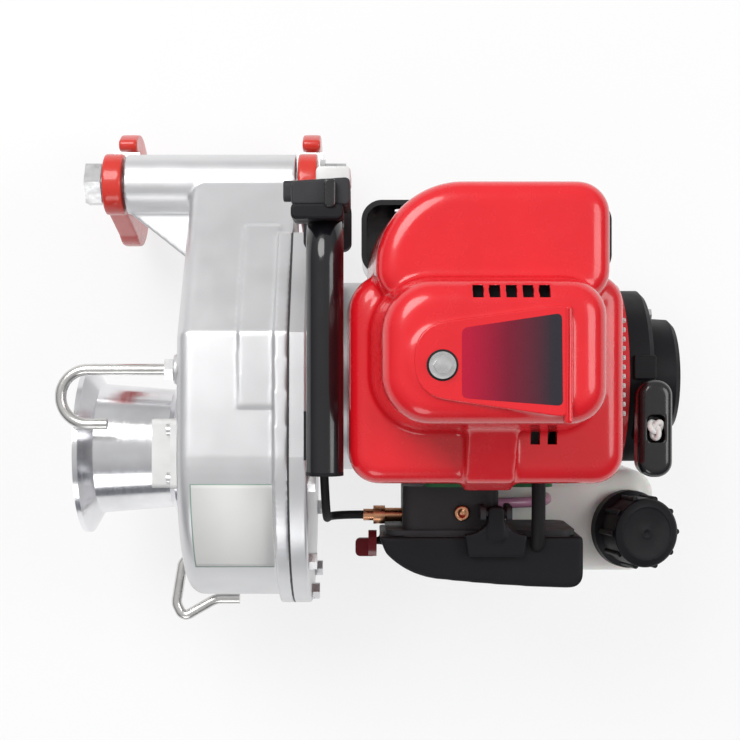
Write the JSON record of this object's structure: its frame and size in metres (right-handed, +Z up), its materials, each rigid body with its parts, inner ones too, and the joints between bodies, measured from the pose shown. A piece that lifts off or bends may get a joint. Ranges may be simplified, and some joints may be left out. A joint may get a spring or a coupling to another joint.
{
  "type": "capstan winch",
  "caption": "Portable petrol capstan winch: cast gear case, rope drum with guides, anchor hooks, carrying handle and a small engine with recoil starter.",
  "frame": {"origin": "on the floor under the drum axis, in the middle of the gear case's foot", "axes": "+X along the shafts from the drum to the engine, +Y towards the anchor hooks, +Z up"},
  "size_m": [0.3723, 0.316, 0.333],
  "materials": {
    "cast_aluminium": "satin cast",
    "machined_steel": "machined",
    "zinc_steel": "zinc plated",
    "stainless_rod": "satin",
    "red_paint": "gloss",
    "black_paint": "gloss",
    "red_plastic": "gloss",
    "black_plastic": "matte",
    "dark_plastic": "matte",
    "maroon_plastic": "matte",
    "white_plastic": "translucent",
    "pale_plastic": "satin",
    "brass": "bright",
    "green_gasket": "matte",
    "grey_gasket": "matte",
    "black_rubber": "matte",
    "pink_hose": "translucent",
    "white_cord": "matte",
    "grey_foam": "matte"
  },
  "bodies": {
    "winch_frame": {"gear_housing": "cast_aluminium", "housing_cover": "cast_aluminium", "cover_gasket": "grey_gasket", "cover_screws": "zinc_steel", "gearbox_bearings": "machined_steel", "upper_rope_guide": "stainless_rod", "lower_rope_guide": "stainless_rod", "guide_fasteners": "zinc_steel", "rope_deflector": "pale_plastic", "anchor_bolt": "zinc_steel", "anchor_nut_and_washer": "zinc_steel", "carrying_handle": "black_paint", "handle_end_cap": "black_plastic", "throttle_clamp": "dark_plastic", "throttle_cable": "black_rubber", "cable_ferrule": "brass", "crankcase": "cast_aluminium", "cylinder": "cast_aluminium", "cylinder_head": "cast_aluminium", "spark_plug": "pale_plastic", "fan_housing": "red_plastic", "starter_housing": "black_plastic", "top_cover": "red_plastic", "engine_screws": "zinc_steel", "muffler_guard": "black_paint", "muffler": "machined_steel", "carburettor": "cast_aluminium", "carburettor_gasket": "green_gasket", "air_cleaner_cover": "black_plastic", "air_filter": "grey_foam", "breather_tube": "black_rubber", "fuel_tank": "white_plastic", "fuel_hose": "pink_hose", "starter_rope": "white_cord"},
    "drum_set": {"capstan_drum": "cast_aluminium", "drum_shaft": "machined_steel", "drum_gear": "machined_steel", "drum_bolt": "zinc_steel"},
    "second_shaft": {"second_pinion": "machined_steel", "second_gear": "machined_steel"},
    "first_shaft": {"first_pinion": "machined_steel", "first_gear": "machined_steel"},
    "clutch_drum": {"input_pinion": "machined_steel", "clutch_bell": "machined_steel"},
    "crank_set": {"crankshaft": "machined_steel", "flywheel": "machined_steel", "clutch_shoes": "machined_steel"},
    "left_hook": {"hook_left": "red_paint"},
    "right_hook": {"hook_right": "red_paint"},
    "left_latch": {"latch_left": "zinc_steel"},
    "right_latch": {"latch_right": "zinc_steel"},
    "throttle": {"throttle_lever": "dark_plastic"},
    "starter_pull": {"starter_grip": "black_plastic"},
    "pulley": {"starter_pulley": "black_plastic"},
    "filler_cap": {"fuel_cap": "black_plastic"},
    "choke": {"choke_lever": "maroon_plastic"},
    "cleaner_latch": {"air_cleaner_latch": "black_plastic"}
  },
  "joints": [
    {"name": "drum_spin", "type": "hinge", "parent": "winch_frame", "child": "drum_set", "pos_m": [-0.06, 0, 0.115], "axis": [1, 0, 0], "continuous": true},
    {"name": "second_spin", "type": "hinge", "parent": "winch_frame", "child": "second_shaft", "pos_m": [0, 0.05816, 0.15572], "axis": [1, 0, 0], "continuous": true},
    {"name": "first_spin", "type": "hinge", "parent": "winch_frame", "child": "first_shaft", "pos_m": [0, 0.08179, 0.11891], "axis": [1, 0, 0], "continuous": true},
    {"name": "clutch_spin", "type": "hinge", "parent": "winch_frame", "child": "clutch_drum", "pos_m": [0.05, 0.045, 0.115], "axis": [1, 0, 0], "continuous": true},
    {"name": "crank_spin", "type": "hinge", "parent": "winch_frame", "child": "crank_set", "pos_m": [0.13, 0.045, 0.115], "axis": [1, 0, 0], "continuous": true},
    {"name": "left_hook_swing", "type": "hinge", "parent": "winch_frame", "child": "left_hook", "pos_m": [-0.0806, 0.16449, 0.115], "axis": [1, 0, 0], "range_deg": [0, 120]},
    {"name": "right_hook_swing", "type": "hinge", "parent": "winch_frame", "child": "right_hook", "pos_m": [0.0396, 0.16449, 0.115], "axis": [1, 0, 0], "range_deg": [0, 120]},
    {"name": "left_latch_open", "type": "hinge", "parent": "left_hook", "child": "left_latch", "pos_m": [-0.0806, 0.15249, 0.081], "axis": [-1, 0, 0], "range_deg": [0, 40], "stiffness_Nm_per_rad": 0.02, "springref_deg": -28.65},
    {"name": "right_latch_open", "type": "hinge", "parent": "right_hook", "child": "right_latch", "pos_m": [0.0396, 0.15249, 0.081], "axis": [-1, 0, 0], "range_deg": [0, 40], "stiffness_Nm_per_rad": 0.02, "springref_deg": -28.65},
    {"name": "throttle_turn", "type": "hinge", "parent": "winch_frame", "child": "throttle", "pos_m": [0.049, 0.15, 0.194], "axis": [0, 1, 0], "range_deg": [0, 60]},
    {"name": "starter_pull_out", "type": "slide", "parent": "winch_frame", "child": "starter_pull", "axis": [0, 0, 1], "range_m": [0, 0.5], "stiffness_N_per_m": 10, "springref_m": -0.4, "deforming": ["starter_rope"]},
    {"name": "pulley_spin", "type": "hinge", "parent": "winch_frame", "child": "pulley", "pos_m": [0.242, 0.045, 0.115], "axis": [1, 0, 0], "range_deg": [-960, 0]},
    {"name": "cap_turn", "type": "hinge", "parent": "winch_frame", "child": "filler_cap", "pos_m": [0.23796, -0.05, 0.1153], "axis": [0.2756, 0, 0.9613], "range_deg": [0, 90]},
    {"name": "choke_turn", "type": "hinge", "parent": "winch_frame", "child": "choke", "pos_m": [0.0795, -0.054, 0.148], "axis": [-1, 0, 0], "range_deg": [0, 60]},
    {"name": "cleaner_latch_lift", "type": "hinge", "parent": "winch_frame", "child": "cleaner_latch", "pos_m": [0.15, -0.033, 0.191], "axis": [-1, 0, 0], "range_deg": [0, 70]}
  ],
  "couplings": [
    {"joint": "second_spin", "follows": "drum_spin", "ratio": -4.4615},
    {"joint": "first_spin", "follows": "drum_spin", "ratio": 17.846},
    {"joint": "clutch_spin", "follows": "drum_spin", "ratio": -76.484},
    {"joint": "pulley_spin", "follows": "starter_pull_out", "rad_per_m": -33.333}
  ]
}
